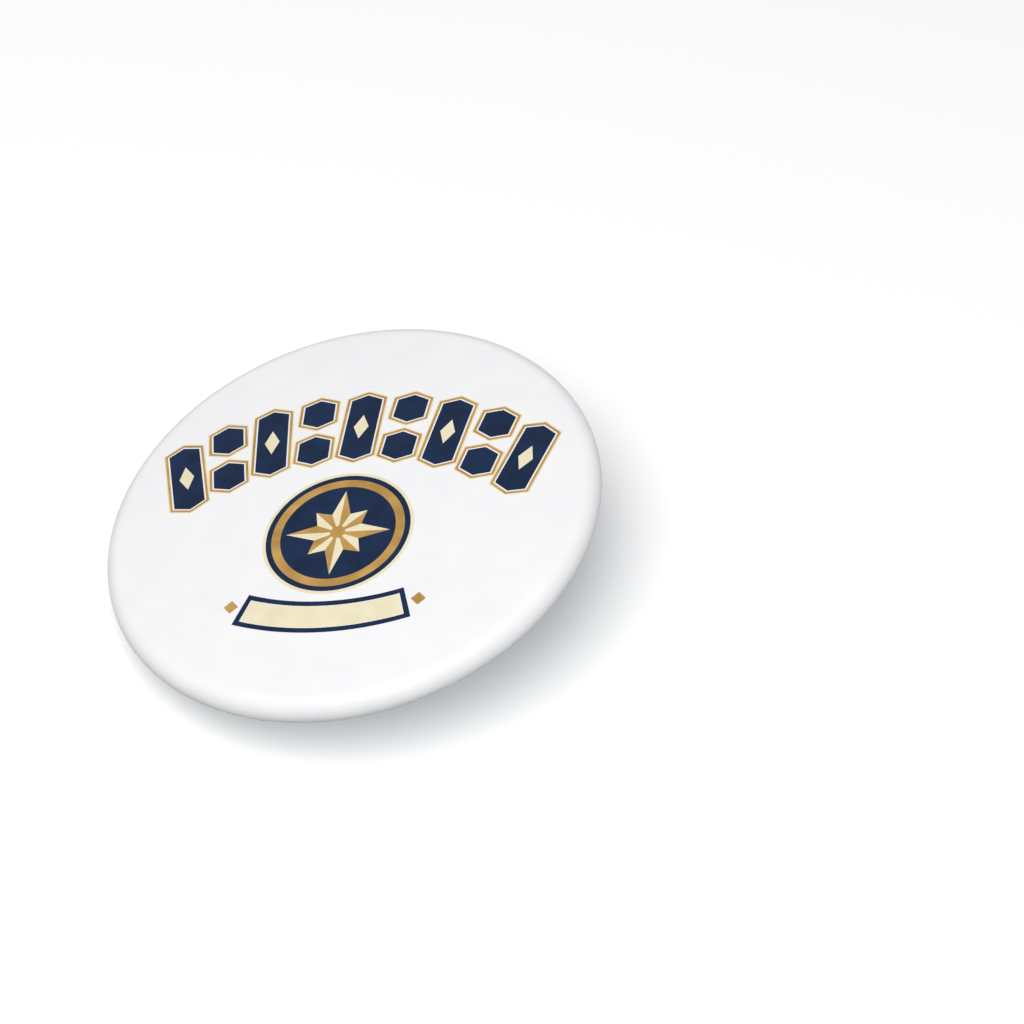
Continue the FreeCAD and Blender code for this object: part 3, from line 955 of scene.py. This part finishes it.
def tinplate():
    """Rolled tinplate, pressed: satin and cool on the flat middle, bright on the slope and bead, and
    painted dark in the ring past the bead as the shade of the gap under the front shell's edge. All
    three go by the distance from the axis."""
    f = Finish("tinplate", Metallic=1.0)
    flat = f.node("ShaderNodeVectorMath", {1: (1, 0, 1)}, operation="MULTIPLY")
    f.link(f.spot, flat.inputs[0])
    far = f.node("ShaderNodeVectorMath", operation="LENGTH")
    f.link(flat.outputs["Vector"], far.inputs[0])
    outer = f.node("ShaderNodeMapRange", {"From Min": DISC_R, "From Max": DISC_R + 0.06})
    f.link(far.outputs["Value"], outer.inputs["Value"])
    colour = f.node("ShaderNodeMix", data_type="RGBA")
    f.link(outer.outputs["Result"], colour.inputs["Factor"])
    f.link(f.tone(0.12, linear(196, 207, 212), linear(205, 214, 217)), colour.inputs[6])
    f.link(f.tone(0.3, linear(226, 227, 224), linear(213, 215, 213)), colour.inputs[7])
    # painted shade: the sunk ring between bead and skirt is painted black as the shaded gap there,
    # then a strip painted a third of the way to black
    gap_shade_span = f.node("ShaderNodeMapRange", {"From Min": GAP_SHADE_RING[0], "From Max": GAP_SHADE_RING[1]})
    f.link(far.outputs["Value"], gap_shade_span.inputs["Value"])
    ring = f.node("ShaderNodeValToRGB")
    stops = ring.color_ramp.elements
    stops[0].color, stops[1].position, stops[1].color = (0, 0, 0, 1), 1.0, (0.35, 0.35, 0.35, 1)
    for position, dark in ((0.08, 1.0), (0.40, 1.0), (0.50, 0.35)):
        stops.new(position).color = (dark, dark, dark, 1)
    f.link(gap_shade_span.outputs["Result"], ring.inputs["Fac"])
    # painted shade: the ramp mixes the tin's colour towards near black in that ring
    painted_gap_shade = f.node("ShaderNodeMix", {7: (0.012, 0.012, 0.013, 1)}, data_type="RGBA")
    f.link(ring.outputs["Color"], painted_gap_shade.inputs["Factor"])
    f.link(colour.outputs[2], painted_gap_shade.inputs[6])
    f.link(painted_gap_shade.outputs[2], f.shader.inputs["Base Color"])
    # grain drawn out along the rolling direction, x
    drawn = f.node("ShaderNodeMapping", {"Scale": (0.35, 1.0, 1.0)})
    f.link(f.spot, drawn.inputs["Vector"])
    satin = f.grain(7.0, 0.115, 0.09, drawn.outputs["Vector"])
    bright = f.grain(2.5, 0.10, 0.06)
    rough = f.node("ShaderNodeMix", data_type="FLOAT")
    f.link(outer.outputs["Result"], rough.inputs["Factor"])
    f.link(satin.outputs["Value"], rough.inputs[2])
    f.link(bright.outputs["Value"], rough.inputs[3])
    f.link(rough.outputs[0], f.shader.inputs["Roughness"])
    wave = f.grain(0.35)
    normal = f.bump(wave.outputs["Height"], 0.02)
    f.link(f.bump(satin.outputs["Height"], 0.0005, normal), f.shader.inputs["Normal"])
    return f.mat


def spring_wire():
    """Hard-drawn wire: bright, with fine lines along its length."""
    f = Finish("spring_wire", Metallic=1.0)
    lines = f.node("ShaderNodeMapping", {"Scale": (46.0, 0.9, 1.0)})
    f.link(f.coords.outputs["UV"], lines.inputs["Vector"])
    drawn = f.grain(1.0, 0.19, 0.20, lines.outputs["Vector"])
    f.link(drawn.outputs["Value"], f.shader.inputs["Roughness"])
    f.link(f.tone(0.5, linear(203, 201, 196), linear(178, 175, 169)), f.shader.inputs["Base Color"])
    f.link(f.bump(drawn.outputs["Height"], 0.004), f.shader.inputs["Normal"])
    return f.mat


def shell_inside():
    """The front shell's bare inner side, seen through the plate's holes."""
    f = Finish("shell_inside", Metallic=1.0)
    f.link(f.tone(0.2, linear(205, 208, 210), linear(186, 190, 194)), f.shader.inputs["Base Color"])
    fine = f.grain(3.0, 0.34, 0.14)
    f.link(fine.outputs["Value"], f.shader.inputs["Roughness"])
    return f.mat


def dress(piece, mat):
    """Gives a piece its one material."""
    piece.data.materials.clear()
    piece.data.materials.append(mat)


# --- the setting ---------------------------------------------------------
# The camera looks down on a surface on which the badge leans, face up. In the badge's own
# frame that is a view from the front and below, and the surface stands behind the badge.
VIEW_TILT = 43.9            # degrees between the face's normal and the line of sight
VIEW_TURN = 21.0            # degrees from the artwork's horizontal to the tilt's axis
VIEW_ROLL = 18.7            # degrees by which that axis rises in the view
SURFACE_TILT = 41.8         # degrees between the surface's normal and the line of sight
LENS = 95.0
SENSOR = 36.0
FRAME_WIDE = 116.4          # mm across the view, at the badge
BADGE_AT = (-18.2, -0.4)    # mm from the view's middle to the badge's

SURFACE_WIDE = 3.0          # metres
SURFACE_COLOUR = (0.98, 0.98, 0.98, 1)
SURFACE_GLOW = 0.04
BACKDROP = (0.74, 0.74, 0.745, 1)       # what the camera sees past the surface
ROOM_LIGHT = 1.1
ROOM_WOBBLE = 0.55          # how far the room's bands stray from even
ROOM_STOPS = (              # from in front of the badge, 0, to behind it, 1
    (0.0, (0.33, 0.33, 0.34, 1)), (0.46, (0.37, 0.37, 0.38, 1)), (0.52, (0.6, 0.6, 0.6, 1)),
    (0.56, (0.05, 0.055, 0.06, 1)), (0.60, (0.12, 0.13, 0.14, 1)), (0.64, (1.0, 1.0, 1.0, 1)),
    (0.72, (0.92, 0.93, 0.93, 1)), (0.75, (0.16, 0.18, 0.19, 1)), (0.77, (0.86, 0.88, 0.89, 1)),
    (0.83, (0.36, 0.40, 0.42, 1)), (1.0, (0.44, 0.49, 0.51, 1)),
)
LOW_SHADE = 0.3             # how bright the room is low down behind the badge
LOW_SPAN = (-0.75, -0.2)    # z of the directions over which that shade fades out
KEY_SIDE = (-0.12, 0.3)     # the key lamp's place, right and up, against 1 towards the camera
KEY_LAMP = (0.8, 0.6, 5.4)  # metres away, metres across, watts
BACK_WAY = (-0.35, 1.0, 0.75)           # from the badge to the lamp behind it
BACK_LAMP = (0.55, 0.22, 0.8)


def unit(v):
    """The vector at length 1."""
    return np.asarray(v, float) / np.linalg.norm(v)


def view_axes():
    """The view's right and up and the direction towards the camera, in the badge's frame.

    toward is the face's normal, leaned by the tilt across an axis in the face. right and up
    are that axis and what of the normal is square to toward, both turned by the roll.
    """
    tilt, turn, roll = (math.radians(a) for a in (VIEW_TILT, VIEW_TURN, VIEW_ROLL))
    normal = np.array([0.0, -1.0, 0.0])
    across = np.array([math.sin(turn), 0.0, -math.cos(turn)])
    toward = unit(math.cos(tilt) * normal + math.sin(tilt) * across)
    rise = unit(normal - normal.dot(toward) * toward)
    axis = np.cross(rise, toward)
    right = axis * math.cos(roll) - rise * math.sin(roll)
    up = axis * math.sin(roll) + rise * math.cos(roll)
    return right, up, toward


RIGHT, UP, TOWARD = view_axes()
LEAN = math.radians(SURFACE_TILT)
SURFACE = unit(math.cos(LEAN) * TOWARD + math.sin(LEAN) * UP)
BADGE_MIDDLE = place([[0.0, EQUATOR_Y, 0.0]])[0]


def turned_to(direction, up):
    """A rotation whose local z is the direction and whose local y is nearest to up."""
    z = unit(direction)
    x = unit(np.cross(up, z))
    return Matrix(np.stack([x, np.cross(z, x), z], 1).tolist()).to_4x4()


def camera():
    """A long lens, as far off as makes the view FRAME_WIDE across at the badge."""
    data = bpy.data.cameras.new("camera")
    data.lens, data.sensor_width = LENS, SENSOR
    data.clip_start, data.clip_end = 0.01, 20.0
    made = bpy.data.objects.new("camera", data)
    bpy.context.scene.collection.objects.link(made)
    away = FRAME_WIDE * MM * LENS / SENSOR
    aim = BADGE_MIDDLE - (BADGE_AT[0] * RIGHT + BADGE_AT[1] * UP) * MM
    made.matrix_world = Matrix.Translation(aim + TOWARD * away) @ turned_to(TOWARD, UP)
    bpy.context.scene.camera = made


def surface():
    """A pale surface that the badge touches; from behind it isn't there. Its height is the
    least that the pieces' corners reach along its normal, from the badge's middle."""
    low = 0.0
    for name in ("clear_film", "pin_coil", "pin_base_wire", "pin_arm"):
        a, b = (np.array(c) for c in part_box(name))
        corners = np.where(SURFACE > 0, a, b)
        if name == "clear_film":
            # the rim's own lowest point, not its box's corner
            side = unit([SURFACE[0], 0, SURFACE[2]])
            corners = BADGE_MIDDLE - side * (BADGE_R - SKIRT_R) * MM - SURFACE * SKIRT_R * MM
        low = min(low, float((corners - BADGE_MIDDLE).dot(SURFACE)))
    mesh = bpy.data.meshes.new("surface")
    x = np.array([-1, 1, 1, -1]) * SURFACE_WIDE / 2
    z = np.array([-1, -1, 1, 1]) * SURFACE_WIDE / 2
    mesh.from_pydata(np.stack([x, z, 0 * x], -1).tolist(), [], [(0, 1, 2, 3)])
    plane = bpy.data.objects.new("surface", mesh)
    bpy.context.scene.collection.objects.link(plane)
    middle = BADGE_MIDDLE + SURFACE * low
    plane.matrix_world = Matrix.Translation(middle) @ turned_to(SURFACE, UP)
    # only the camera sees it: it throws no light, shadow or reflection on the badge
    for ray in ("diffuse", "glossy", "transmission", "shadow", "volume_scatter"):
        setattr(plane, "visible_" + ray, False)
    mat = bpy.data.materials.new("surface")
    mat.use_nodes = True
    tree = mat.node_tree
    shader = tree.nodes["Principled BSDF"]
    shader.inputs["Base Color"].default_value = SURFACE_COLOUR
    shader.inputs["Roughness"].default_value = 0.9
    shader.inputs["Specular IOR Level"].default_value = 0.1
    shader.inputs["Emission Color"].default_value = (1.0, 1.0, 1.0, 1)
    shader.inputs["Emission Strength"].default_value = SURFACE_GLOW
    clear, mix = add(tree, "ShaderNodeBsdfTransparent"), add(tree, "ShaderNodeMixShader")
    tree.links.new(add(tree, "ShaderNodeNewGeometry").outputs["Backfacing"], mix.inputs["Fac"])
    tree.links.new(shader.outputs[0], mix.inputs[1])
    tree.links.new(clear.outputs[0], mix.inputs[2])
    tree.links.new(mix.outputs[0], tree.nodes["Material Output"].inputs["Surface"])
    dress(plane, mat)


def lamp(name, direction, away, size, watts):
    """A round white lamp that faces the badge."""
    data = bpy.data.lights.new(name, "AREA")
    data.shape, data.size, data.energy = "DISK", size, watts
    made = bpy.data.objects.new(name, data)
    bpy.context.scene.collection.objects.link(made)
    d = unit(direction)
    spot = BADGE_MIDDLE + d * away
    up = (0.03, 0.05, 1)        # a little off upright, so that no lamp's way is along it
    made.matrix_world = Matrix.Translation(spot) @ turned_to(d, up)


def world():
    """What lights and mirrors: a soft grey room in front of the badge, and behind it bright
    and dark bands and a blue-grey card that faces the plate. The camera sees an even pale
    grey in its place."""
    made = bpy.data.worlds.new("room")
    bpy.context.scene.world = made
    made.use_nodes = True
    tree = made.node_tree
    coords = add(tree, "ShaderNodeTexCoord")
    parts = add(tree, "ShaderNodeSeparateXYZ")
    tree.links.new(coords.outputs["Generated"], parts.inputs[0])
    noise = add(tree, "ShaderNodeTexNoise", {"Scale": 1.6, "Detail": 1.5, "Roughness": 0.5})
    tree.links.new(coords.outputs["Generated"], noise.inputs["Vector"])
    # how far behind the badge a direction points, unevenly: y + wobble (noise - 1/2)
    off = add(tree, "ShaderNodeMath", {1: 0.5}, operation="SUBTRACT")
    tree.links.new(noise.outputs["Fac"], off.inputs[0])
    behind = add(tree, "ShaderNodeMath", {1: ROOM_WOBBLE}, operation="MULTIPLY_ADD")
    tree.links.new(off.outputs[0], behind.inputs[0])
    tree.links.new(parts.outputs["Y"], behind.inputs[2])
    span = add(tree, "ShaderNodeMapRange", {"From Min": -1.0, "From Max": 1.0})
    tree.links.new(behind.outputs[0], span.inputs["Value"])
    ramp = add(tree, "ShaderNodeValToRGB")
    stops = ramp.color_ramp.elements
    stops.remove(stops[1])
    stops[0].position, stops[0].color = ROOM_STOPS[0]
    for position, colour in ROOM_STOPS[1:]:
        stops.new(position).color = colour
    tree.links.new(span.outputs["Result"], ramp.inputs["Fac"])
    # darker low down behind: the greater of a ramp over z and 1 - 2 y
    span_low = {"From Min": LOW_SPAN[0], "From Max": LOW_SPAN[1], "To Min": LOW_SHADE}
    low = add(tree, "ShaderNodeMapRange", span_low)
    tree.links.new(parts.outputs["Z"], low.inputs["Value"])
    front = add(tree, "ShaderNodeMath", {1: -2.0, 2: 1.0}, operation="MULTIPLY_ADD")
    tree.links.new(parts.outputs["Y"], front.inputs[0])
    shade = add(tree, "ShaderNodeMath", operation="MAXIMUM", use_clamp=True)
    tree.links.new(low.outputs["Result"], shade.inputs[0])
    tree.links.new(front.outputs[0], shade.inputs[1])
    shaded = add(tree, "ShaderNodeVectorMath", operation="SCALE")
    tree.links.new(ramp.outputs["Color"], shaded.inputs[0])
    tree.links.new(shade.outputs[0], shaded.inputs["Scale"])
    ray = add(tree, "ShaderNodeLightPath")
    seen = add(tree, "ShaderNodeMix", {7: BACKDROP}, data_type="RGBA")
    tree.links.new(ray.outputs["Is Camera Ray"], seen.inputs["Factor"])
    tree.links.new(shaded.outputs["Vector"], seen.inputs[6])
    tree.links.new(seen.outputs[2], tree.nodes["Background"].inputs["Color"])
    tree.nodes["Background"].inputs["Strength"].default_value = ROOM_LIGHT


def setting():
    """Plain colour handling, the camera, the surface, the room and the two lamps."""
    scene = bpy.context.scene
    scene.view_settings.view_transform = "Standard"
    scene.view_settings.look = "None"
    camera()
    surface()
    world()
    lamp("key", TOWARD + KEY_SIDE[1] * UP + KEY_SIDE[0] * RIGHT, *KEY_LAMP)
    lamp("back_key", BACK_WAY, *BACK_LAMP)


# --- the badge -----------------------------------------------------------
face = wrapped_face()
dress(face, under_film("printed_paper", linear(243, 243, 243), linear(240, 240, 241)))
dress(film_lip(), clear_edge())
inks = {
    "navy_print": under_film("navy_ink", linear(13, 41, 76), linear(9, 31, 60), 0.5),
    "gold_print": under_film("gold_ink", linear(200, 160, 92), linear(172, 132, 66), 0.35),
    "cream_print": under_film("cream_ink", linear(237, 228, 197), linear(231, 220, 185), 0.4),
}
for patch in artwork():
    dress(patch, inks[patch.name])
dress(back_plate(), tinplate())
dress(frame["nodes"]["front_shell"], shell_inside())
wire = spring_wire()
for piece in (pin_coil(), pin_arm(), pin_base_wire()):
    dress(piece, wire)
setting()
